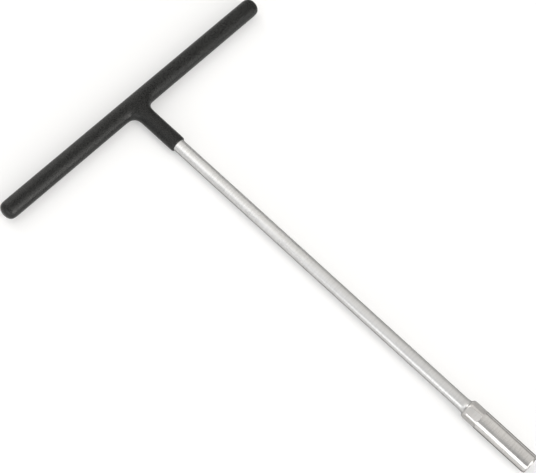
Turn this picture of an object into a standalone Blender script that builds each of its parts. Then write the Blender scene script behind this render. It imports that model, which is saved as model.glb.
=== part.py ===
"""T-handle socket wrench, lying on its side.

The cross bar lies along X, the shaft along Y with the socket's mouth towards -Y, and +Z is up.
The origin is the middle of the tool's footprint. Units are metres.
"""

import math

import bmesh
import bpy
from mathutils import Matrix

# Steel rods
SHAFT_DIAMETER = 0.008
BAR_DIAMETER = 0.009
BAR_LENGTH = 0.2034
BAR_END_CHAMFER = 0.001
REACH = 0.3113

# Soft coat of the grip
COAT_ON_BAR = 0.0010
COAT_ON_NECK = 0.0009
COAT_ON_WELDS = 0.00105
COAT_AT_ENDS = 0.0020
NECK_REACH = 0.0375
GRIP_END_ROUNDING = 0.0038
NECK_LIP_ROUNDING = 0.0010

# Weld beads between shaft and bar
WELD_THROAT = 0.0024
WELD_HALF_LENGTH = 0.0032

# Socket
NUT_SIZE = 0.008
NUT_CLEARANCE = 0.00012
NUT_DEPTH = 0.014
NUT_LEDGE = 0.0004
SOCKET_WALL = 0.00131
SOCKET_LENGTH = 0.0465
SOCKET_WEB = 0.006
NECK_FLAT_LENGTH = 0.0098
FLAT_DEPTH = 0.0005
FLAT_RUN_OUT = 0.0004
SHOULDER_HEIGHT = 0.0022
MOUTH_CHAMFER_LENGTH = 0.0010
MOUTH_CHAMFER_DEPTH = 0.0005
LEAD_IN_DEPTH = 0.0006
DRILL_POINT_ANGLE = math.radians(118)
FLAT_TURN = math.radians(25.5)

# Joint between shaft and socket
SPIGOT_STEP = 0.0010
SPIGOT_LENGTH = 0.012
BRAZE_LEG = 0.0006
BRAZE_HEIGHT = 0.0022
BRAZE_EDGE = 0.00015

# Gap left between pieces that touch
FIT_GAP = 0.0003

# Facets of round surfaces, and how far a cutter stands out of what it cuts
ROUND_STEPS = 48
ARC_STEPS = 4
BEAD_STEPS = 24
CUTTER_OVERRUN = 0.002

# The grip is shaped by an eight-sided cage, which Subdivision Surface draws in to a share of its radius
CAGE_SIDES = 8
CAGE_DRAW_IN = (4 + 2 * math.cos(2 * math.pi / CAGE_SIDES)) / 6
GRIP_SUBDIVISIONS = 2

# Rings of the cage at a rounded end: setback from the end and inset from the side, in roundings
BAR_END_CAGE = ((0.0, 0.8), (0.3, 0.0), (1.3, 0.0), (2.6, 0.0))
NECK_LIP_CAGE = ((2.4, 0.0), (0.5, 0.0), (0.0, 0.7), (0.0, 2.2))

shaft_radius = SHAFT_DIAMETER / 2
bar_radius = BAR_DIAMETER / 2
grip_radius = bar_radius + FIT_GAP + COAT_ON_BAR
neck_radius = shaft_radius + FIT_GAP + COAT_ON_NECK
grip_half_length = BAR_LENGTH / 2 + FIT_GAP + COAT_AT_ENDS
spigot_radius = shaft_radius - SPIGOT_STEP
braze_radius = shaft_radius + FIT_GAP + BRAZE_LEG
nut_flat = (NUT_SIZE + NUT_CLEARANCE) / 2
nut_corner = nut_flat / math.cos(math.pi / 6)
socket_radius = nut_corner + SOCKET_WALL
neck_flat = socket_radius - FLAT_DEPTH

# Heights along the tool's axis: 0 is the cross bar's middle, and the socket hangs below it
mouth_height = -REACH
shoulder_top = mouth_height + SOCKET_LENGTH
spigot_foot = shoulder_top - SPIGOT_LENGTH
bore_point = spigot_foot - FIT_GAP - SOCKET_WEB

axis_height = max(socket_radius, grip_radius)
bar_place = (REACH - grip_radius) / 2


def clear_scene():
    for old in list(bpy.data.objects):
        bpy.data.objects.remove(old, do_unlink=True)


def finish_material(name, colour, roughness, metallic):
    material = bpy.data.materials.new(name)
    material.use_nodes = True
    shader = material.node_tree.nodes["Principled BSDF"]
    shader.inputs["Base Color"].default_value = (*colour, 1)
    shader.inputs["Roughness"].default_value = roughness
    shader.inputs["Metallic"].default_value = metallic
    return material


def add_piece(name, mesh, material=None):
    """An object on the tool's axis. With no material it is a cutter."""
    piece = bpy.data.objects.new(name, mesh)
    bpy.context.scene.collection.objects.link(piece)
    piece.parent = tool_axis
    if material is None:
        piece.hide_render = True
        piece.display_type = "WIRE"
    else:
        mesh.materials.append(material)
        mesh.shade_smooth()
    return piece


def turned(name, profile, material=None, closed=False):
    """A piece turned about the tool's axis. The profile of (radius, height) runs down its outer side."""
    mesh = bpy.data.meshes.new(name)
    points = [(radius, 0, height) for radius, height in profile]
    edges = [(index, index + 1) for index in range(len(points) - 1)]
    if closed:
        edges.append((len(points) - 1, 0))
    mesh.from_pydata(points, edges, [])
    piece = add_piece(name, mesh, material)
    screw = piece.modifiers.new("turn", "SCREW")
    screw.steps = ROUND_STEPS
    screw.render_steps = ROUND_STEPS
    screw.use_merge_vertices = True
    screw.merge_threshold = 1e-6
    screw.use_smooth_shade = True
    return piece


def quarter_turn():
    """The angles of a quarter of a circle, from 0 to 90 degrees."""
    return [math.pi / 2 * step / ARC_STEPS for step in range(ARC_STEPS + 1)]


def hexagon(bm, flat, height):
    """A ring of six points at this height, with its flats this far from the axis."""
    ring = bmesh.ops.create_circle(bm, segments=6, radius=flat / math.cos(math.pi / 6))["verts"]
    # A sixth of half a turn brings a flat level; FLAT_TURN then leans it towards -X
    turn = Matrix.Rotation(math.pi / 6 - FLAT_TURN, 4, "Z")
    bmesh.ops.transform(bm, matrix=Matrix.Translation((0, 0, height)) @ turn, verts=ring)
    return ring


def join_rings(bm, first, second):
    count = len(first)
    for index in range(count):
        after = (index + 1) % count
        bm.faces.new((first[index], first[after], second[after], second[index]))


def closed_mesh(bm, name):
    bmesh.ops.recalc_face_normals(bm, faces=bm.faces)
    mesh = bpy.data.meshes.new(name)
    bm.to_mesh(mesh)
    bm.free()
    return mesh


def cut(piece, cutter):
    boolean = piece.modifiers.new(cutter.name, "BOOLEAN")
    boolean.operation = "DIFFERENCE"
    boolean.object = cutter


def cross_bar_rod(name, extra, material=None):
    """The cross bar's chamfered rod, grown all round by extra."""
    radius = bar_radius + extra
    half_length = BAR_LENGTH / 2 + extra
    profile = [
        (0, half_length),
        (radius - BAR_END_CHAMFER, half_length),
        (radius, half_length - BAR_END_CHAMFER),
        (radius, BAR_END_CHAMFER - half_length),
        (radius - BAR_END_CHAMFER, -half_length),
        (0, -half_length),
    ]
    rod = turned(name, profile, material)
    rod.rotation_euler = (0, math.pi / 2, 0)
    return rod


def room_for_shaft():
    """The bore that the shaft's top needs in the grip and in the weld beads."""
    radius = shaft_radius + FIT_GAP
    top = FIT_GAP
    foot = -NECK_REACH - CUTTER_OVERRUN
    return turned("shaft_room", [(0, top), (radius, top), (radius, foot), (0, foot)])


def make_shaft():
    """The shaft's top is coped round the bar, and its foot is turned down to a spigot."""
    seat = shoulder_top + FIT_GAP
    profile = [
        (0, 0),
        (shaft_radius, 0),
        (shaft_radius, seat),
        (spigot_radius, seat),
        (spigot_radius, spigot_foot),
        (0, spigot_foot),
    ]
    shaft = turned("shaft", profile, satin_chrome)
    cut(shaft, bar_room)


def weld_bead(name, side, extra, material=None):
    """An ellipsoid in the corner between shaft and bar, grown all round by extra."""
    bm = bmesh.new()
    bmesh.ops.create_uvsphere(bm, u_segments=BEAD_STEPS, v_segments=BEAD_STEPS // 2, radius=1)
    throat = WELD_THROAT + extra
    stretch = Matrix.Diagonal((throat, WELD_HALF_LENGTH + extra, throat, 1))
    place = Matrix.Translation((side * shaft_radius, 0, -bar_radius))
    bmesh.ops.transform(bm, matrix=place @ stretch, verts=bm.verts)
    return add_piece(name, closed_mesh(bm, name), material)


def make_weld(name, side):
    bead = weld_bead(name, side, 0, weld_metal)
    cut(bead, bar_room)
    cut(bead, shaft_room)


def cage_ring(bm, radius, place):
    """Eight cage points in a ring; place turns the two ways across the ring into a position."""
    ring = []
    for index in range(CAGE_SIDES):
        angle = 2 * math.pi * index / CAGE_SIDES
        ring.append(bm.verts.new(place(radius * math.cos(angle), radius * math.sin(angle))))
    return ring


def end_rings(end, radius, rounding, cage):
    """Places and cage radii of the rings round a rounded end."""
    return [(end - setback * rounding, radius - inset * rounding) for setback, inset in cage]


def bar_stations(bar_cage, crotch_reach):
    """Places along the bar and cage radii of its rings, from one end to the other."""
    rounding = min(GRIP_END_ROUNDING, grip_radius) / CAGE_DRAW_IN
    rings = end_rings(grip_half_length, bar_cage, rounding, BAR_END_CAGE)
    # The flat of the end has a ring inside its edge, and the straight bar one beside the crotch
    rings.insert(0, (grip_half_length, rings[0][1] / 2))
    beside_crotch = crotch_reach + bar_radius
    rings.append(((rings[-1][0] + beside_crotch) / 2, bar_cage))
    rings.append((beside_crotch, bar_cage))
    rings.append((crotch_reach, bar_cage))
    left = [(-along, radius) for along, radius in rings]
    return left + [(0, bar_cage)] + rings[::-1]


def neck_stations(neck_cage, crotch_depth):
    """Depths below the bar's middle and cage radii of the neck's rings, from the crotch to the lip."""
    rounding = min(NECK_LIP_ROUNDING, COAT_ON_NECK + FIT_GAP) / CAGE_DRAW_IN
    rings = end_rings(NECK_REACH, neck_cage, rounding, NECK_LIP_CAGE)
    return [(crotch_depth, neck_cage), (crotch_depth + bar_radius, neck_cage)] + rings


def grip_cage():
    """The T-shaped cage of the coat: rings along the bar, and the neck's rings out of its underside."""
    bm = bmesh.new()
    bar_cage = grip_radius / CAGE_DRAW_IN
    neck_cage = neck_radius / CAGE_DRAW_IN
    # The crotch is filled until the coat covers the weld bead across the corner
    cover = math.sqrt(2) * (WELD_THROAT + FIT_GAP + COAT_ON_WELDS)
    crotch = max(FIT_GAP, cover - (neck_cage - shaft_radius) - (bar_cage - bar_radius))

    # Point 0 of a bar ring is on its underside, where the neck grows
    rings = []
    for along, radius in bar_stations(bar_cage, neck_cage + crotch):
        rings.append(cage_ring(bm, radius, lambda down, side, along=along: (along, side, -down)))
    bm.faces.new(rings[0])
    bm.faces.new(rings[-1])
    middle = len(rings) // 2
    for number in range(len(rings) - 1):
        first = rings[number]
        second = rings[number + 1]
        beside_neck = number in (middle - 1, middle)
        for index in range(CAGE_SIDES):
            after = (index + 1) % CAGE_SIDES
            if beside_neck and 0 in (index, after):
                continue
            bm.faces.new((first[index], first[after], second[after], second[index]))
    left, centre, right = rings[middle - 1 : middle + 2]
    bm.verts.remove(centre[0])
    # The sides of the opening stand out to the neck's width, so that bar and neck flow into each other
    centre[1].co.y = neck_cage
    centre[-1].co.y = -neck_cage

    above = [right[0], right[1], centre[1], left[1], left[0], left[-1], centre[-1], right[-1]]
    for depth, radius in neck_stations(neck_cage, bar_cage + crotch):
        ring = cage_ring(bm, radius, lambda across, side, depth=depth: (across, side, -depth))
        join_rings(bm, above, ring)
        above = ring
    bm.faces.new(above)
    return closed_mesh(bm, "grip")


def make_grip():
    grip = add_piece("grip", grip_cage(), black_vinyl)
    smooth = grip.modifiers.new("smooth", "SUBSURF")
    smooth.levels = GRIP_SUBDIVISIONS
    smooth.render_levels = GRIP_SUBDIVISIONS
    cut(grip, bar_room)
    cut(grip, shaft_room)
    cut(grip, weld_bead("left_weld_room", -1, FIT_GAP))
    cut(grip, weld_bead("right_weld_room", 1, FIT_GAP))


def neck_flats_cutter():
    """A six-sided sleeve that mills six flats into the neck, with a rounded run-out at its lower end."""
    bm = bmesh.new()
    top = shoulder_top + CUTTER_OVERRUN
    foot = shoulder_top - NECK_FLAT_LENGTH
    outside = 2 * socket_radius
    rings = [hexagon(bm, neck_flat, top)]
    for angle in quarter_turn():
        out = FLAT_RUN_OUT * (1 - math.cos(angle))
        up = FLAT_RUN_OUT * (1 - math.sin(angle))
        rings.append(hexagon(bm, neck_flat + out, foot + up))
    rings += [hexagon(bm, outside, foot), hexagon(bm, outside, top)]
    for index, ring in enumerate(rings):
        join_rings(bm, ring, rings[(index + 1) % len(rings)])
    return add_piece("neck_flats_cutter", closed_mesh(bm, "neck_flats_cutter"))


def nut_cutter():
    bm = bmesh.new()
    lower = hexagon(bm, nut_flat, mouth_height - CUTTER_OVERRUN)
    upper = hexagon(bm, nut_flat, mouth_height + NUT_DEPTH)
    join_rings(bm, lower, upper)
    bm.faces.new(lower)
    bm.faces.new(upper)
    return add_piece("nut_cutter", closed_mesh(bm, "nut_cutter"))


def make_socket():
    profile = [(0, shoulder_top)]
    for angle in quarter_turn():
        radius = braze_radius + (socket_radius - braze_radius) * math.sin(angle)
        profile.append((radius, shoulder_top - SHOULDER_HEIGHT * (1 - math.cos(angle))))
    profile += [
        (socket_radius, mouth_height + MOUTH_CHAMFER_LENGTH),
        (socket_radius - MOUTH_CHAMFER_DEPTH, mouth_height),
        (0, mouth_height),
    ]
    socket = turned("socket", profile, bright_chrome)
    cut(socket, neck_flats_cutter())
    cut(socket, nut_cutter())

    # The clearance bore takes the bolt's end, and its smaller radius leaves a ledge that stops the nut
    below = mouth_height - CUTTER_OVERRUN
    bore = nut_flat - NUT_LEDGE
    bore_top = bore_point - bore / math.tan(DRILL_POINT_ANGLE / 2)
    cut(socket, turned("clearance_bore", [(0, bore_point), (bore, bore_top), (bore, below), (0, below)]))

    # A cone opens the corners of the hexagon at the mouth
    lead_in_top = mouth_height + LEAD_IN_DEPTH
    lead_in_profile = [
        (0, lead_in_top),
        (nut_corner - LEAD_IN_DEPTH, lead_in_top),
        (nut_corner + CUTTER_OVERRUN, below),
        (0, below),
    ]
    cut(socket, turned("lead_in", lead_in_profile))

    bore = spigot_radius + FIT_GAP
    above = shoulder_top + CUTTER_OVERRUN
    bottom = spigot_foot - FIT_GAP
    cut(socket, turned("spigot_bore", [(0, above), (bore, above), (bore, bottom), (0, bottom)]))


def make_socket_braze():
    """A concave ring that fills the corner between the shaft and the socket's shoulder."""
    inside = shaft_radius + FIT_GAP
    foot = shoulder_top + FIT_GAP
    profile = []
    for angle in quarter_turn():
        out = BRAZE_EDGE + (BRAZE_LEG - BRAZE_EDGE) * (1 - math.cos(angle))
        up = BRAZE_EDGE + (BRAZE_HEIGHT - BRAZE_EDGE) * (1 - math.sin(angle))
        profile.append((inside + out, foot + up))
    profile += [(inside + BRAZE_LEG, foot), (inside, foot), (inside, foot + BRAZE_HEIGHT)]
    turned("socket_braze", profile, braze_metal, closed=True)


clear_scene()

plain_steel = finish_material("plain_steel", (0.30, 0.29, 0.28), 0.55, 1.0)
weld_metal = finish_material("weld_metal", (0.22, 0.21, 0.20), 0.60, 1.0)
satin_chrome = finish_material("satin_chrome", (0.72, 0.72, 0.71), 0.35, 1.0)
bright_chrome = finish_material("bright_chrome", (0.78, 0.78, 0.77), 0.15, 1.0)
braze_metal = finish_material("braze_metal", (0.76, 0.75, 0.73), 0.30, 1.0)
black_vinyl = finish_material("black_vinyl", (0.03, 0.03, 0.03), 0.70, 0.0)

# The tool's axis: its height points from the socket to the handle, which lies at +Y
tool_axis = bpy.data.objects.new("tool_axis", None)
bpy.context.scene.collection.objects.link(tool_axis)
tool_axis.location = (0, bar_place, axis_height)
tool_axis.rotation_euler = (-math.pi / 2, 0, 0)

bar_room = cross_bar_rod("bar_room", FIT_GAP)
shaft_room = room_for_shaft()

cross_bar_rod("cross_bar", 0, plain_steel)
make_shaft()
make_weld("weld_left", -1)
make_weld("weld_right", 1)
make_grip()
make_socket()
make_socket_braze()
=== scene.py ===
"""Looks of the T-handle socket wrench, lying on a pale studio floor.

The cross bar lies along X, the shaft along Y with the socket's mouth towards -Y. Units are metres.
"""

import math

import bpy
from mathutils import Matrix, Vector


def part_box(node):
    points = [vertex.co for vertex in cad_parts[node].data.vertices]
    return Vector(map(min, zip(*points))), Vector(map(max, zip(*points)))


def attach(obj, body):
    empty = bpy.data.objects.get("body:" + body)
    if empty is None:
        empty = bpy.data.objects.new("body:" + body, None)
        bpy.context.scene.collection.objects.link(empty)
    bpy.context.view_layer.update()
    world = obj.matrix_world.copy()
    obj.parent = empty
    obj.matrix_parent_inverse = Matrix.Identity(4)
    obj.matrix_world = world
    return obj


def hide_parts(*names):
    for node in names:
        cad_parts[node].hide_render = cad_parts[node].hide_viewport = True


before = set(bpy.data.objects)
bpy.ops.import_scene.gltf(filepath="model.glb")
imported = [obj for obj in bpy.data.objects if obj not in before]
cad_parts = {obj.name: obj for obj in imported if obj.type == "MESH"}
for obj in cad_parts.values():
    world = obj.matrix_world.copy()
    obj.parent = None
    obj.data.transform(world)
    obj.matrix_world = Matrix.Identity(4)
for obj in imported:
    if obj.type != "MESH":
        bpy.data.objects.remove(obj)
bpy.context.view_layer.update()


# Cross bar
# A drawn steel rod, chamfered at both ends. It lies hidden in the grip, with the shaft welded under
# its middle, and keeps the grey skin that the drawing die left on it.

NOISE_RANGE = (0.3, 0.7)
STEEL_DARK = (0.20, 0.19, 0.19)
STEEL_LIGHT = (0.36, 0.35, 0.34)
STEEL_ROUGHNESS = (0.38, 0.62)
STREAK_STRETCH = (0.05, 1, 1)
STREAK_DEPTH = 0.00004


def start_material(name, roughness, metallic):
    """A new material, its node tree and its shader."""
    material = bpy.data.materials.new(name)
    material.use_nodes = True
    shader = material.node_tree.nodes["Principled BSDF"]
    shader.inputs["Roughness"].default_value = roughness
    shader.inputs["Metallic"].default_value = metallic
    return material, material.node_tree, shader


def place_on_piece(tree, stretch=(1, 1, 1), centre=(0, 0, 0)):
    """Object coordinates, measured from a centre and stretched along each axis."""
    place = tree.nodes.new("ShaderNodeTexCoord")
    centred = tree.nodes.new("ShaderNodeVectorMath")
    centred.operation = "SUBTRACT"
    centred.inputs[1].default_value = centre
    stretched = tree.nodes.new("ShaderNodeVectorMath")
    stretched.operation = "MULTIPLY"
    stretched.inputs[1].default_value = stretch
    tree.links.new(place.outputs["Object"], centred.inputs[0])
    tree.links.new(centred.outputs[0], stretched.inputs[0])
    return stretched.outputs[0]


def noise(tree, place, grain, detail=2.0, roughness=0.5):
    """A noise pattern whose blotches are about as wide as the grain, in metres."""
    pattern = tree.nodes.new("ShaderNodeTexNoise")
    pattern.inputs["Scale"].default_value = 1 / grain
    pattern.inputs["Detail"].default_value = detail
    pattern.inputs["Roughness"].default_value = roughness
    tree.links.new(place, pattern.inputs["Vector"])
    return pattern.outputs["Fac"]


def spread(tree, source, source_range, target_range):
    """Maps one range of a value onto another."""
    scale = tree.nodes.new("ShaderNodeMapRange")
    scale.interpolation_type = "LINEAR"
    scale.inputs["From Min"].default_value = source_range[0]
    scale.inputs["From Max"].default_value = source_range[1]
    scale.inputs["To Min"].default_value = target_range[0]
    scale.inputs["To Max"].default_value = target_range[1]
    tree.links.new(source, scale.inputs["Value"])
    return scale.outputs["Result"]


def colour_mix(tree, share, first, second):
    """Mixes two colours; each is a colour or the output of another node."""
    mix = tree.nodes.new("ShaderNodeMix")
    mix.data_type = "RGBA"
    tree.links.new(share, mix.inputs["Factor"])
    for socket, colour in ((mix.inputs[6], first), (mix.inputs[7], second)):
        if isinstance(colour, tuple):
            socket.default_value = (*colour, 1)
        else:
            tree.links.new(colour, socket)
    return mix.outputs[2]


def calculate(tree, operation, first, second):
    """One sum of two values; each is a number or the output of another node."""
    node = tree.nodes.new("ShaderNodeMath")
    node.operation = operation
    for socket, value in ((node.inputs[0], first), (node.inputs[1], second)):
        if isinstance(value, float):
            socket.default_value = value
        else:
            tree.links.new(value, socket)
    return node.outputs[0]


def emboss(tree, shader, height, depth, strength):
    """Gives the surface bumps as deep as this, in metres, where the pattern runs from 0 to 1."""
    bump = tree.nodes.new("ShaderNodeBump")
    bump.inputs["Strength"].default_value = strength
    bump.inputs["Distance"].default_value = depth
    tree.links.new(height, bump.inputs["Height"])
    tree.links.new(bump.outputs["Normal"], shader.inputs["Normal"])


def drawn_steel():
    material, tree, shader = start_material("drawn_steel", roughness=0.5, metallic=1.0)
    streaks = noise(tree, place_on_piece(tree, stretch=STREAK_STRETCH), grain=0.0004, detail=4.0)
    scale_marks = noise(tree, place_on_piece(tree), grain=0.006, detail=5.0)
    skin = colour_mix(tree, scale_marks, STEEL_DARK, STEEL_LIGHT)
    tree.links.new(skin, shader.inputs["Base Color"])
    tree.links.new(spread(tree, scale_marks, NOISE_RANGE, STEEL_ROUGHNESS), shader.inputs["Roughness"])
    emboss(tree, shader, streaks, depth=STREAK_DEPTH, strength=0.6)
    return material


def finish_node(name, material):
    """Puts a finish on a piece that is shown as it came with the frame."""
    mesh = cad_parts[name].data
    mesh.materials.clear()
    mesh.materials.append(material)


finish_node("cross_bar", drawn_steel())
bar_low, bar_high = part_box("cross_bar")
bar_radius = (bar_high.z - bar_low.z) / 2
bar_place = (bar_high.y + bar_low.y) / 2
axis_height = (bar_high.z + bar_low.z) / 2


# Shaft
# A straight steel rod with a satin chrome plate. Its top is coped round the bar and welded to it,
# and its foot is turned down to a spigot that stands in the socket.

ROUND_SIDES = 128
SEAT_CLEARANCE = 0.00002
SPIGOT_STEP = 0.0010
SPIGOT_EDGE = 0.0004
FACING = 0.99
# Black tint on the chrome's reflection at grazing angles: painted shade that darkens the rims of the shaft,
# the braze and the socket
RIM_SHADE_TINT = (0.0, 0.0, 0.0)
FINE_NOISE_RANGE = (0.38, 0.62)
CLOUD_SHARE = (0.0, 0.4)
RING_SHARE = (0.0, 0.6)
RING_STRETCH = (0.12, 1, 0.12)
SATIN_DARK = (0.515, 0.513, 0.508)
SATIN_LIGHT = (0.615, 0.613, 0.608)
SATIN_ROUGHNESS = (0.25, 0.29)
SATIN_RING_DEPTH = 0.000005
DULL_STRETCH = (-0.10, 0.02)
DULLING = 0.09


def add_round(name, radius, start, end, sides=ROUND_SIDES):
    """A cylinder round the tool's axis, between two places along Y."""
    bpy.ops.object.select_all(action="DESELECT")
    bpy.ops.mesh.primitive_cylinder_add(
        vertices=sides,
        radius=radius,
        depth=end - start,
        location=(0, (start + end) / 2, axis_height),
        rotation=(-math.pi / 2, 0, 0),
    )
    bpy.ops.object.transform_apply(location=True, rotation=True, scale=True)
    piece = bpy.context.active_object
    piece.name = name
    return piece


def select_faces(piece, wanted):
    """Goes into edit mode with just those faces selected whose centre and normal are wanted."""
    bpy.ops.object.mode_set(mode="EDIT")
    bpy.ops.mesh.select_mode(type="FACE")
    bpy.ops.mesh.select_all(action="DESELECT")
    bpy.ops.object.mode_set(mode="OBJECT")
    for face in piece.data.polygons:
        face.select = wanted(face.center, face.normal)
    bpy.ops.object.mode_set(mode="EDIT")


def looks_down(centre, normal):
    """True for a face that looks along the tool, away from the handle."""
    return normal.y < -FACING


def looks_up(centre, normal):
    """True for a face that looks along the tool, towards the handle."""
    return normal.y > FACING


def draw_out(length, width=1.0):
    """Extrudes the selected end face along the tool, and scales its new end about the axis."""
    bpy.ops.mesh.extrude_region_move(TRANSFORM_OT_translate={"value": (0, length, 0)})
    if width != 1.0:
        bpy.ops.transform.resize(value=(width, 1, width), center_override=(0, 0, axis_height))


def leave_edit():
    bpy.ops.object.mode_set(mode="OBJECT")


def use_up(piece, tool, operation):
    """Cuts a piece with a tool, or keeps what the two share, and removes the tool."""
    bpy.context.view_layer.objects.active = piece
    cut = piece.modifiers.new("cut", "BOOLEAN")
    cut.operation = operation
    cut.solver = "EXACT"
    cut.object = tool
    bpy.ops.object.modifier_apply(modifier=cut.name)
    bpy.data.objects.remove(tool)


def add_bar_blank(extra):
    """The room that the cross bar needs, grown all round by extra."""
    bpy.ops.object.select_all(action="DESELECT")
    bpy.ops.mesh.primitive_cylinder_add(
        vertices=ROUND_SIDES,
        radius=bar_radius + extra,
        depth=bar_high.x - bar_low.x + 2 * extra,
        location=(0, bar_place, axis_height),
        rotation=(0, math.pi / 2, 0),
    )
    bpy.ops.object.transform_apply(location=True, rotation=True, scale=True)
    return bpy.context.active_object


def finish_piece(piece, node, material, crease):
    """Shades a piece, gives it its finish, and puts it in the place of its node."""
    bpy.ops.object.select_all(action="DESELECT")
    piece.select_set(True)
    bpy.context.view_layer.objects.active = piece
    bpy.ops.object.shade_smooth_by_angle(angle=crease)
    piece.data.materials.clear()
    piece.data.materials.append(material)
    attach(piece, "root")
    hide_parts(node)


def satin_chrome():
    material, tree, shader = start_material("satin_chrome_plate", roughness=0.5, metallic=1.0)
    # The reflection at grazing angles is tinted black, a painted shade along the rims
    shader.inputs["Specular Tint"].default_value = (*RIM_SHADE_TINT, 1)
    haze = noise(tree, place_on_piece(tree, stretch=(1, 0.35, 1)), grain=0.009, detail=4.0)
    round_shaft = place_on_piece(tree, stretch=RING_STRETCH)
    rings = noise(tree, round_shaft, grain=0.0011, detail=3.0, roughness=0.7)
    cloudy = spread(tree, haze, NOISE_RANGE, CLOUD_SHARE)
    ringed = spread(tree, rings, FINE_NOISE_RANGE, RING_SHARE)
    tone = calculate(tree, "ADD", cloudy, ringed)
    plate = colour_mix(tree, tone, SATIN_DARK, SATIN_LIGHT)
    tree.links.new(plate, shader.inputs["Base Color"])
    # The plate is a little duller on the half towards the socket
    part = tree.nodes.new("ShaderNodeSeparateXYZ")
    tree.links.new(place_on_piece(tree), part.inputs[0])
    dulling = spread(tree, part.outputs["Y"], DULL_STRETCH, (DULLING, 0.0))
    polish = spread(tree, haze, NOISE_RANGE, SATIN_ROUGHNESS)
    tree.links.new(calculate(tree, "ADD", polish, dulling), shader.inputs["Roughness"])
    emboss(tree, shader, rings, depth=SATIN_RING_DEPTH, strength=0.5)
    return material


shaft_low, shaft_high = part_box("shaft")
socket_low, socket_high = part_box("socket")
shaft_radius = (shaft_high.x - shaft_low.x) / 2
shoulder_top = socket_high.y
spigot_foot = shaft_low.y
spigot_radius = shaft_radius - SPIGOT_STEP

shaft_rod = add_round("shaft_rod", shaft_radius, shoulder_top + SEAT_CLEARANCE, bar_place)
select_faces(shaft_rod, looks_down)
bpy.ops.mesh.inset(thickness=SPIGOT_STEP)
draw_out(spigot_foot + SPIGOT_EDGE - shoulder_top - SEAT_CLEARANCE)
draw_out(-SPIGOT_EDGE, width=1 - SPIGOT_EDGE / spigot_radius)
leave_edit()
use_up(shaft_rod, add_bar_blank(SEAT_CLEARANCE), "DIFFERENCE")
finish_piece(shaft_rod, "shaft", satin_chrome(), crease=math.radians(25))


# Welds
# Two beads of weld metal in the corners between shaft and bar, with the dark skin and the ripples of
# a bead that was left as laid. The grip's coat hides them.

WELD_DARK = (0.13, 0.12, 0.12)
WELD_LIGHT = (0.30, 0.27, 0.24)
WELD_ROUGHNESS = (0.45, 0.7)
RIPPLE_DEPTH = 0.0002


def weld_skin():
    material, tree, shader = start_material("weld_skin", roughness=0.55, metallic=1.0)
    ripples = noise(tree, place_on_piece(tree, stretch=(1, 1, 3)), grain=0.0011, detail=2.0)
    temper = noise(tree, place_on_piece(tree), grain=0.0025, detail=3.0)
    skin = colour_mix(tree, temper, WELD_DARK, WELD_LIGHT)
    tree.links.new(skin, shader.inputs["Base Color"])
    tree.links.new(spread(tree, temper, NOISE_RANGE, WELD_ROUGHNESS), shader.inputs["Roughness"])
    emboss(tree, shader, ripples, depth=RIPPLE_DEPTH, strength=0.7)
    return material


weld_material = weld_skin()
finish_node("weld_left", weld_material)
finish_node("weld_right", weld_material)


# Socket
# A round steel socket with bright chrome plate. Six flats are milled into its neck, a hexagon recess
# for the nut is broached into its mouth, and behind that is a drilled bore for the bolt's end.

SOCKET_SIDES = 192
SHOULDER_WIDTH = 0.0011
SHOULDER_HEIGHT = 0.0022
SHOULDER_STEPS = 18
MOUTH_BEVEL_LENGTH = 0.0010
MOUTH_BEVEL_DEPTH = 0.0005
FLAT_LENGTH = 0.0098
FLAT_DEPTH = 0.0005
FLAT_RUN_OUT = 0.0004
RUN_OUT_STEPS = 8
FLAT_TURN = math.radians(25.5)
NUT_ACROSS_FLATS = 0.00812
NUT_DEPTH = 0.014
LEAD_IN_DEPTH = 0.0006
NUT_LEDGE = 0.0004
BORE_DEPTH = 0.028
DRILL_POINT_ANGLE = math.radians(118)
DRILL_POINT_WIDTH = 0.02
SPIGOT_CLEARANCE = 0.00005
OVERRUN = 0.002

BRIGHT_DARK = (0.530, 0.519, 0.507)
BRIGHT_LIGHT = (0.624, 0.611, 0.596)
BRIGHT_ROUGHNESS = (0.17, 0.20)
BRIGHT_RING_DEPTH = 0.000006
RIM_SKIN = (0.14, 0.13, 0.125)
RIM_FADE = (0.0001, 0.0004)
# The hex recess is coloured far darker than the chrome plate round it
RECESS_DARK_COLOUR = (0.20, 0.19, 0.18)
RECESS_ROUGHNESS = 0.45
BEVEL_ROUGHNESS = 0.40
EDGE_FADE = 0.0002
SHOULDER_ROUGHNESS = 0.38
SHOULDER_FADE = 0.0010
FLATS_ROUGHNESS = 0.30
FLATS_FADE = (0.00006, 0.00003)

HEXAGON_CORNER = 1 / math.cos(math.pi / 6)

mouth = socket_low.y
socket_radius = (socket_high.x - socket_low.x) / 2
nut_flat = NUT_ACROSS_FLATS / 2
nut_corner = nut_flat * HEXAGON_CORNER


def turn_flat(piece):
    """Turns a six-sided piece about the tool's axis until a flat leans from the top towards -X."""
    piece.location.z = axis_height
    for corner in piece.data.vertices:
        corner.co.z -= axis_height
    piece.rotation_euler.y = math.pi / 6 - FLAT_TURN
    bpy.ops.object.transform_apply(location=True, rotation=True, scale=True)


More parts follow.
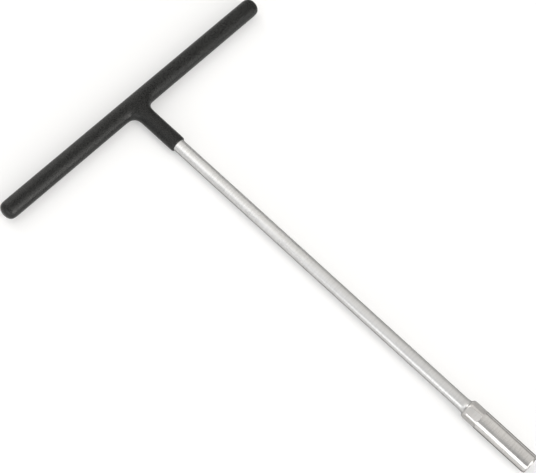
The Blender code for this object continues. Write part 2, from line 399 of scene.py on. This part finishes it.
def bright_chrome():
    material, tree, shader = start_material("bright_chrome_plate", roughness=0.18, metallic=1.0)
    # The reflection at grazing angles is tinted black, a painted shade along the rims
    shader.inputs["Specular Tint"].default_value = (*RIM_SHADE_TINT, 1)
    smears = noise(tree, place_on_piece(tree, stretch=(1, 0.5, 1)), grain=0.007, detail=4.0)
    round_socket = place_on_piece(tree, stretch=RING_STRETCH)
    rings = noise(tree, round_socket, grain=0.0008, detail=3.0, roughness=0.7)
    smeared = spread(tree, smears, NOISE_RANGE, CLOUD_SHARE)
    ringed = spread(tree, rings, FINE_NOISE_RANGE, RING_SHARE)
    tone = calculate(tree, "ADD", smeared, ringed)
    plate = colour_mix(tree, tone, BRIGHT_DARK, BRIGHT_LIGHT)
    across = place_on_piece(tree, stretch=(1, 0, 1), centre=(0, 0, axis_height))
    distance = tree.nodes.new("ShaderNodeVectorMath")
    distance.operation = "LENGTH"
    tree.links.new(across, distance.inputs[0])
    outside = spread(tree, distance.outputs["Value"], (nut_corner, nut_corner + EDGE_FADE), (0.0, 1.0))
    part = tree.nodes.new("ShaderNodeSeparateXYZ")
    tree.links.new(place_on_piece(tree), part.inputs[0])
    behind_rim = spread(tree, part.outputs["Y"], (mouth + RIM_FADE[0], mouth + RIM_FADE[1]), (0.0, 1.0))
    skin = colour_mix(tree, behind_rim, RIM_SKIN, plate)
    # Inside the hex recess the colour turns far darker than the plate
    tree.links.new(colour_mix(tree, outside, RECESS_DARK_COLOUR, skin), shader.inputs["Base Color"])
    # The recess, the bevel, the shoulder and the flats are duller than the turned body
    polish = spread(tree, smears, NOISE_RANGE, BRIGHT_ROUGHNESS)
    dull = spread(tree, outside, (0.0, 1.0), (RECESS_ROUGHNESS, 0.0))
    bevel_end = mouth + MOUTH_BEVEL_LENGTH
    worn = spread(tree, part.outputs["Y"], (bevel_end, bevel_end + EDGE_FADE), (BEVEL_ROUGHNESS, 0.0))
    shoulder = shoulder_top - SHOULDER_HEIGHT
    blunt = spread(tree, part.outputs["Y"], (shoulder, shoulder + SHOULDER_FADE), (0.0, SHOULDER_ROUGHNESS))
    inward = (socket_radius - FLATS_FADE[0], socket_radius - FLATS_FADE[1])
    flats = spread(tree, distance.outputs["Value"], inward, (FLATS_ROUGHNESS, 0.0))
    dull = calculate(tree, "MAXIMUM", dull, flats)
    dull = calculate(tree, "MAXIMUM", dull, worn)
    dull = calculate(tree, "MAXIMUM", dull, blunt)
    tree.links.new(calculate(tree, "MAXIMUM", polish, dull), shader.inputs["Roughness"])
    emboss(tree, shader, rings, depth=BRIGHT_RING_DEPTH, strength=0.5)
    return material


nut_socket = add_round(
    "nut_socket", socket_radius, mouth + MOUTH_BEVEL_LENGTH, shoulder_top - SHOULDER_HEIGHT, SOCKET_SIDES
)
select_faces(nut_socket, looks_up)
radius = socket_radius
risen = 0
for step in range(1, SHOULDER_STEPS + 1):
    angle = math.pi / 2 * step / SHOULDER_STEPS
    next_radius = socket_radius - SHOULDER_WIDTH * (1 - math.cos(angle))
    draw_out(SHOULDER_HEIGHT * math.sin(angle) - risen, width=next_radius / radius)
    radius = next_radius
    risen = SHOULDER_HEIGHT * math.sin(angle)
select_faces(nut_socket, looks_down)
draw_out(-MOUTH_BEVEL_LENGTH, width=1 - MOUTH_BEVEL_DEPTH / socket_radius)
leave_edit()

# What lies outside this six-sided blank with a wide foot is milled away
neck_flat = socket_radius - FLAT_DEPTH
flats_foot = shoulder_top - FLAT_LENGTH
milled = add_round(
    "milled", neck_flat * HEXAGON_CORNER, flats_foot + FLAT_RUN_OUT, shoulder_top + OVERRUN, sides=6
)
turn_flat(milled)
select_faces(milled, looks_down)
radius = neck_flat
fallen = 0
for step in range(1, RUN_OUT_STEPS + 1):
    angle = math.pi / 2 * step / RUN_OUT_STEPS
    next_radius = neck_flat + FLAT_RUN_OUT * (1 - math.cos(angle))
    draw_out(fallen - FLAT_RUN_OUT * math.sin(angle), width=next_radius / radius)
    radius = next_radius
    fallen = FLAT_RUN_OUT * math.sin(angle)
draw_out(0, width=2 * socket_radius / radius)
draw_out(mouth - OVERRUN - flats_foot)
leave_edit()
use_up(nut_socket, milled, "INTERSECT")

recess = add_round("recess", nut_corner, mouth - OVERRUN, mouth + NUT_DEPTH, sides=6)
turn_flat(recess)
use_up(nut_socket, recess, "DIFFERENCE")

lead_in = add_round("lead_in", nut_corner + OVERRUN, mouth - OVERRUN - LEAD_IN_DEPTH, mouth - OVERRUN)
select_faces(lead_in, looks_up)
draw_out(OVERRUN + LEAD_IN_DEPTH, width=(nut_corner - LEAD_IN_DEPTH) / (nut_corner + OVERRUN))
leave_edit()
use_up(nut_socket, lead_in, "DIFFERENCE")

bore_radius = nut_flat - NUT_LEDGE
point_length = bore_radius / math.tan(DRILL_POINT_ANGLE / 2)
bore = add_round("bore", bore_radius, mouth - OVERRUN, mouth + BORE_DEPTH - point_length)
select_faces(bore, looks_up)
draw_out(point_length, width=DRILL_POINT_WIDTH)
leave_edit()
use_up(nut_socket, bore, "DIFFERENCE")

seat_radius = spigot_radius + SPIGOT_CLEARANCE
seat = add_round("seat", seat_radius, spigot_foot - SPIGOT_CLEARANCE, shoulder_top + OVERRUN)
use_up(nut_socket, seat, "DIFFERENCE")
finish_piece(nut_socket, "socket", bright_chrome(), crease=math.radians(16))


# Braze
# A concave ring of filler metal that joins the shaft to the socket's shoulder. It was plated with
# them, so that it shows only as a small flare.

BRAZE_HEIGHT = 0.0025
BRAZE_TOP_WALL = 0.0001
BRAZE_STEPS = 12

braze_radius = socket_radius - SHOULDER_WIDTH
braze_foot = shoulder_top + SEAT_CLEARANCE
braze_top_radius = shaft_radius + BRAZE_TOP_WALL

braze_fillet = add_round("braze_fillet", braze_radius, braze_foot, braze_foot + SEAT_CLEARANCE)
select_faces(braze_fillet, looks_up)
radius = braze_radius
risen = SEAT_CLEARANCE
for step in range(1, BRAZE_STEPS + 1):
    angle = math.pi / 2 * step / BRAZE_STEPS
    next_radius = braze_radius - (braze_radius - braze_top_radius) * math.sin(angle)
    height = SEAT_CLEARANCE + (BRAZE_HEIGHT - SEAT_CLEARANCE) * (1 - math.cos(angle))
    draw_out(height - risen, width=next_radius / radius)
    radius = next_radius
    risen = height
leave_edit()
shaft_hole = add_round(
    "shaft_hole", shaft_radius + SEAT_CLEARANCE, braze_foot - OVERRUN, braze_foot + BRAZE_HEIGHT + OVERRUN
)
use_up(braze_fillet, shaft_hole, "DIFFERENCE")
finish_piece(braze_fillet, "socket_braze", satin_chrome(), crease=math.radians(25))


# Grip
# A soft black vinyl coat, dipped in one piece over the cross bar and the top of the shaft. It is
# round at its two ends, thick in the corners below the bar, and ends in a rounded lip on the shaft.

CAGE_SIDES = 8
GRIP_SUBDIVISIONS = 3
END_ROUNDING = 0.0048
LIP_ROUNDING = 0.0010
CROTCH = 0.0020
CROTCH_RUN_OUT = 0.0048
NECK_WALL = 0.0012
LIP_CLEARANCE = 0.00004
BEAD_SIDES = 48
BEAD_RINGS = 24
NEAR = 1e-6
UNDERSIDE = 0.9

# In parts of the rounding: how far the cage's rings lie from the ends and the lip, how far the ends and
# the lip are drawn in, and the width of the ring inside the lip
END_RINGS = (2.6, 1.3, 0.3)
END_DRAW_IN = 0.8
LIP_RINGS = (2.4, 0.5)
LIP_DRAW_IN = 0.7
LIP_INSET = 1.5

VINYL_DARK = (0.0008, 0.0008, 0.0008)
VINYL_LIGHT = (0.0170, 0.0175, 0.0165)
VINYL_SPECULAR = 0.25
VINYL_ROUGHNESS = (0.25, 0.46)
VINYL_GRAIN_DEPTH = 0.00014
SPECKLE_RANGE = (0.44, 0.60)
SPECKLE_SHARE = (0.0, 0.8)
PATCH_RANGE = (0.35, 0.65)
PATCH_SHARE = (0.0, 0.2)

# Subdivision draws an eight-sided cage in to this share of its radius
CAGE_DRAW_IN = (4 + 2 * math.cos(2 * math.pi / CAGE_SIDES)) / 6


def black_vinyl():
    material, tree, shader = start_material("dipped_vinyl", roughness=0.62, metallic=0.0)
    mottle = noise(tree, place_on_piece(tree), grain=0.005, detail=3.0)
    grain = noise(tree, place_on_piece(tree), grain=0.00055, detail=1.5, roughness=0.6)
    shader.inputs["Specular IOR Level"].default_value = VINYL_SPECULAR
    speckle = spread(tree, grain, SPECKLE_RANGE, SPECKLE_SHARE)
    patches = spread(tree, mottle, PATCH_RANGE, PATCH_SHARE)
    tone = calculate(tree, "ADD", speckle, patches)
    coat = colour_mix(tree, tone, VINYL_DARK, VINYL_LIGHT)
    tree.links.new(coat, shader.inputs["Base Color"])
    tree.links.new(spread(tree, grain, FINE_NOISE_RANGE, VINYL_ROUGHNESS), shader.inputs["Roughness"])
    emboss(tree, shader, grain, depth=VINYL_GRAIN_DEPTH, strength=1.0)
    return material


def bisect_all(place, direction):
    """Cuts a ring of edges round the whole piece in edit mode."""
    bpy.ops.mesh.select_all(action="SELECT")
    bpy.ops.mesh.bisect(plane_co=place, plane_no=direction)


grip_low, grip_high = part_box("grip")
grip_radius = grip_high.y - bar_place
grip_half = grip_high.x
neck_radius = shaft_radius + NECK_WALL
lip = grip_low.y
bar_cage = grip_radius / CAGE_DRAW_IN
neck_cage = neck_radius / CAGE_DRAW_IN
end_rounding = END_ROUNDING / CAGE_DRAW_IN
lip_rounding = LIP_ROUNDING / CAGE_DRAW_IN
crotch_side = neck_cage + CROTCH
crotch_foot = bar_place - bar_cage - CROTCH

bpy.ops.object.select_all(action="DESELECT")
bpy.ops.mesh.primitive_cylinder_add(
    vertices=CAGE_SIDES,
    radius=bar_cage,
    depth=2 * grip_half,
    location=(0, bar_place, axis_height),
    rotation=(0, math.pi / 2, 0),
)
bpy.ops.object.transform_apply(location=True, rotation=True, scale=True)
vinyl_grip = bpy.context.active_object
vinyl_grip.name = "vinyl_grip"

bpy.ops.object.mode_set(mode="EDIT")
ring_places = [crotch_side, crotch_side + CROTCH_RUN_OUT]
for setback in END_RINGS:
    ring_places.append(grip_half - setback * end_rounding)
ring_places.append((ring_places[1] + ring_places[2]) / 2)
for place in ring_places:
    bisect_all((place, 0, 0), (1, 0, 0))
    bisect_all((-place, 0, 0), (1, 0, 0))
bisect_all((0, 0, 0), (1, 0, 0))

# Each end is drawn in, and gets a smaller ring inside its edge
end_radius = bar_cage - END_DRAW_IN * end_rounding
select_faces(vinyl_grip, lambda centre, normal: abs(normal.x) > FACING)
bpy.ops.transform.resize(
    value=(1, end_radius / bar_cage, end_radius / bar_cage), center_override=(0, bar_place, axis_height)
)
bpy.ops.mesh.inset(thickness=end_radius / 2 * math.cos(math.pi / CAGE_SIDES))

# Four faces under the middle open into the neck, and the opening's sides stand out to its width
select_faces(vinyl_grip, lambda centre, normal: abs(centre.x) < crotch_side and normal.y < -UNDERSIDE)
bpy.ops.mesh.delete(type="FACE")
bpy.ops.mesh.select_mode(type="VERT")
leave_edit()
for corner in vinyl_grip.data.vertices:
    corner.select = abs(corner.co.x) < NEAR and corner.co.y < bar_place - NEAR
bpy.ops.object.mode_set(mode="EDIT")
side_height = bar_cage * math.sin(math.pi / 4)
bpy.ops.transform.resize(value=(1, 1, neck_cage / side_height), center_override=(0, bar_place, axis_height))

# The neck is a second cage, bridged to the opening
bpy.ops.mesh.primitive_cylinder_add(
    vertices=CAGE_SIDES,
    radius=neck_cage,
    depth=crotch_foot - lip,
    location=(0, (crotch_foot + lip) / 2, axis_height),
    rotation=(-math.pi / 2, 0, 0),
)
leave_edit()
select_faces(vinyl_grip, lambda centre, normal: normal.y > FACING and abs(centre.y - crotch_foot) < NEAR)
bpy.ops.mesh.delete(type="ONLY_FACE")
bisect_all((0, crotch_foot - CROTCH_RUN_OUT, 0), (0, 1, 0))
for setback in LIP_RINGS:
    bisect_all((0, lip + setback * lip_rounding, 0), (0, 1, 0))
lip_radius = neck_cage - LIP_DRAW_IN * lip_rounding
select_faces(vinyl_grip, lambda centre, normal: normal.y < -FACING and abs(centre.y - lip) < NEAR)
bpy.ops.transform.resize(
    value=(lip_radius / neck_cage, 1, lip_radius / neck_cage), center_override=(0, lip, axis_height)
)
bpy.ops.mesh.inset(thickness=LIP_INSET * lip_rounding * math.cos(math.pi / CAGE_SIDES))
bpy.ops.mesh.select_mode(type="EDGE")
bpy.ops.mesh.select_all(action="DESELECT")
bpy.ops.mesh.select_non_manifold()
bpy.ops.mesh.bridge_edge_loops()
bpy.ops.mesh.select_all(action="SELECT")
bpy.ops.mesh.normals_make_consistent(inside=False)
leave_edit()

rounded = vinyl_grip.modifiers.new("rounded", "SUBSURF")
rounded.levels = GRIP_SUBDIVISIONS
rounded.render_levels = GRIP_SUBDIVISIONS
bpy.ops.object.modifier_apply(modifier=rounded.name)

use_up(vinyl_grip, add_bar_blank(LIP_CLEARANCE), "DIFFERENCE")
shaft_room = add_round("shaft_room", shaft_radius + LIP_CLEARANCE, lip - OVERRUN, bar_place)
use_up(vinyl_grip, shaft_room, "DIFFERENCE")
for node, side in (("weld_left", -1), ("weld_right", 1)):
    weld_low, weld_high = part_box(node)
    throat = bar_place - bar_radius - weld_low.y + LIP_CLEARANCE
    half_length = (weld_high.z - weld_low.z) / 2 + LIP_CLEARANCE
    bpy.ops.object.select_all(action="DESELECT")
    bpy.ops.mesh.primitive_uv_sphere_add(
        segments=BEAD_SIDES,
        ring_count=BEAD_RINGS,
        radius=1,
        location=(side * shaft_radius, bar_place - bar_radius, axis_height),
        scale=(throat, throat, half_length),
    )
    bpy.ops.object.transform_apply(location=True, rotation=True, scale=True)
    use_up(vinyl_grip, bpy.context.active_object, "DIFFERENCE")
finish_piece(vinyl_grip, "grip", black_vinyl(), crease=math.radians(40))


# Floor
# A wide pale table that the tool lies on. To the camera and in the chrome it is as bright as white
# paper, and it keeps the tool's soft shadow.

FLOOR_SIZE = 12.0
FLOOR_DROP = 0.00005
FLOOR_PAPER = (0.56, 0.56, 0.56)
FLOOR_GLOW = 0.31


def white_paper():
    material, tree, shader = start_material("white_paper", roughness=0.9, metallic=0.0)
    shader.inputs["Base Color"].default_value = (*FLOOR_PAPER, 1)
    shader.inputs["Specular IOR Level"].default_value = 0.0
    shader.inputs["Emission Color"].default_value = (1, 1, 1, 1)
    path = tree.nodes.new("ShaderNodeLightPath")
    seen = calculate(tree, "MAXIMUM", path.outputs["Is Camera Ray"], path.outputs["Is Glossy Ray"])
    seen = calculate(tree, "MAXIMUM", seen, path.outputs["Is Transmission Ray"])
    tree.links.new(calculate(tree, "MULTIPLY", seen, FLOOR_GLOW), shader.inputs["Emission Strength"])
    return material


bpy.ops.object.select_all(action="DESELECT")
bpy.ops.mesh.primitive_plane_add(size=FLOOR_SIZE, location=(0, 0, -FLOOR_DROP))
floor = bpy.context.active_object
floor.name = "studio_floor"
floor.data.materials.append(white_paper())


# Light
# A pale tent over the table, dimmer in front and behind, with a bright panel low on the left and a glow
# high up beyond the handle. A narrow lamp low in front of the mouth and another behind the handle put
# the sheen on the grip.

TENT_ACROSS = (
    (-90, 0.45), (-60, 0.45), (-36, 0.46), (-20, 0.70), (0, 0.90),
    (25, 0.99), (55, 1.08), (68, 0.88), (80, 0.42),
)
TENT_ALONG = ((-0.25, 0), (-0.08, 1), (0.42, 1), (0.54, 0))
REST_ACROSS = ((-0.3, 0.60), (0, 0.55), (0.3, 0.45))
REST_ALONG = ((-0.25, 1), (-0.08, 0), (0.42, 0), (0.54, 1))
PANEL_ACROSS = ((-66, 1), (-58, 0))
PANEL_ALONG = ((-0.90, 0), (-0.75, 2.9), (-0.02, 2.9), (0.09, 1.38), (0.165, 0.40), (0.22, 0))
FAR_ACROSS = (
    (-90, 0.12), (-66, 0.40), (-44, 0.95), (-33, 1.0),
    (-21, 0.75), (-8, 0.50), (10, 0.24), (50, 0),
)
FAR_ALONG = (
    (0, 0), (0.03, 0.18), (0.13, 0.60), (0.20, 0.98), (0.235, 1.24),
    (0.295, 1.80), (0.36, 2.3), (0.40, 2.3), (0.54, 0),
)
FRONT_ACROSS = ((-0.25, 0), (-0.02, 1), (0.21, 1), (0.29, 0))
FRONT_ALONG = ((-1, 12.0), (-0.93, 9.0), (-0.86, 5.5), (-0.7, 4.5), (-0.4, 0.8), (-0.10, 0))
BACK_ACROSS = ((-0.15, 0), (0, 1), (0.25, 1), (0.32, 0))
BACK_ALONG = ((0.55, 0), (0.68, 4.2), (0.85, 3.6), (1, 2.0))
TENT_TINT = (1.0, 0.985, 0.958)
TENT_TINT_RISE = (-45, 0)
ANGLE_REACH = 90


def brightness_by(tree, value, reach, stops):
    """Brightness along one way across the sky. Each stop has a place between -reach and +reach."""
    ramp = tree.nodes.new("ShaderNodeValToRGB")
    elements = ramp.color_ramp.elements
    elements.remove(elements[1])
    for number, (place, brightness) in enumerate(stops):
        share = (place / reach + 1) / 2
        element = elements.new(share) if number else elements[0]
        element.position = share
        element.color = (brightness, brightness, brightness, 1)
    tree.links.new(spread(tree, value, (-reach, reach), (0.0, 1.0)), ramp.inputs["Fac"])
    return ramp.outputs["Color"]


def light_tent():
    world = bpy.data.worlds.new("light_tent")
    world.use_nodes = True
    tree = world.node_tree
    direction = tree.nodes.new("ShaderNodeTexCoord")
    part = tree.nodes.new("ShaderNodeSeparateXYZ")
    tree.links.new(direction.outputs["Generated"], part.inputs[0])
    # The angle runs over the tool, from -X through the top to +X
    turn = calculate(tree, "ARCTAN2", part.outputs["X"], part.outputs["Z"])
    angle = calculate(tree, "MULTIPLY", turn, 180 / math.pi)
    total = 0.0
    for way, reach, across, along in (
        (angle, ANGLE_REACH, TENT_ACROSS, TENT_ALONG),
        (angle, ANGLE_REACH, PANEL_ACROSS, PANEL_ALONG),
        (angle, ANGLE_REACH, FAR_ACROSS, FAR_ALONG),
        (part.outputs["X"], 1, REST_ACROSS, REST_ALONG),
        (part.outputs["X"], 1, FRONT_ACROSS, FRONT_ALONG),
        (part.outputs["X"], 1, BACK_ACROSS, BACK_ALONG),
    ):
        first = brightness_by(tree, way, reach, across)
        second = brightness_by(tree, part.outputs["Y"], 1, along)
        total = calculate(tree, "ADD", total, calculate(tree, "MULTIPLY", first, second))
    tree.links.new(total, tree.nodes["Background"].inputs["Strength"])
    tint = colour_mix(tree, spread(tree, angle, TENT_TINT_RISE, (0.0, 1.0)), (1.0, 1.0, 1.0), TENT_TINT)
    tree.links.new(tint, tree.nodes["Background"].inputs["Color"])
    bpy.context.scene.world = world


light_tent()


# Camera
# It stands high over the tool's left side, and sees the handle at the upper left and the socket at the
# lower right of the picture.

CAMERA_PLACE = (-0.2988, -0.13775, 0.7571)
CAMERA_TURN = (23.873, -5.7104, -46.531)
CAMERA_LENS = 95.66
CAMERA_SENSOR = 36

lens = bpy.data.cameras.new("camera")
lens.lens = CAMERA_LENS
lens.sensor_width = CAMERA_SENSOR
lens.sensor_fit = "HORIZONTAL"
camera = bpy.data.objects.new("camera", lens)
bpy.context.scene.collection.objects.link(camera)
camera.location = CAMERA_PLACE
camera.rotation_euler = [math.radians(turn) for turn in CAMERA_TURN]
bpy.context.scene.camera = camera
bpy.context.scene.view_settings.view_transform = "Standard"
